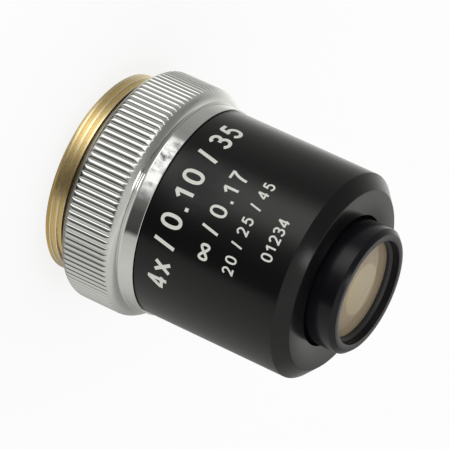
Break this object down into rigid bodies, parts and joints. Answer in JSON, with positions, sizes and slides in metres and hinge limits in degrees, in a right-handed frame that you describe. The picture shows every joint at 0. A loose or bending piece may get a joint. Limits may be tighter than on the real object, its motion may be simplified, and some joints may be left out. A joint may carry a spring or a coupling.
{
  "type": "microscope objective",
  "caption": "Low-power microscope objective: brass mounting thread, knurled chrome grip collar, black barrel and narrow nose holding a coated front lens, with lens cells inside.",
  "frame": {"origin": "centre of the rear rim of the mounting thread, the lowest face of the standing objective", "axes": "+Z along the optical axis from the mounting thread to the front lens; the lettering on the barrel is centred on -Y"},
  "size_m": [0.0236, 0.0236, 0.0302],
  "materials": {
    "brass": "turned, satin, thread cut",
    "turned_brass": "turned, plain",
    "chrome": "bright plated, knurled",
    "black_barrel": "satin black lacquer",
    "black_nose": "black anodised",
    "black_metal": "matt black anodised",
    "coated_glass": "coated, polished",
    "rear_coated_glass": "coated, polished",
    "glass": "clear, polished"
  },
  "bodies": {
    "root": {"mount_thread": "brass", "grip_collar": "chrome", "outer_barrel": "black_barrel", "nose_cell": "black_nose", "lens_tube": "turned_brass", "parfocal_shim": "turned_brass", "front_lens": "coated_glass", "second_lens": "glass", "nose_spacer": "black_metal", "front_retaining_ring": "black_metal", "middle_cell": "black_metal", "middle_flint_lens": "glass", "middle_crown_lens": "glass", "middle_retaining_ring": "black_metal", "aperture_stop": "black_metal", "tube_spacer": "black_metal", "rear_cell": "black_metal", "rear_flint_lens": "rear_coated_glass", "rear_crown_lens": "glass", "rear_retaining_ring": "black_metal", "stack_lock_ring": "black_metal"}
  },
  "joints": []
}
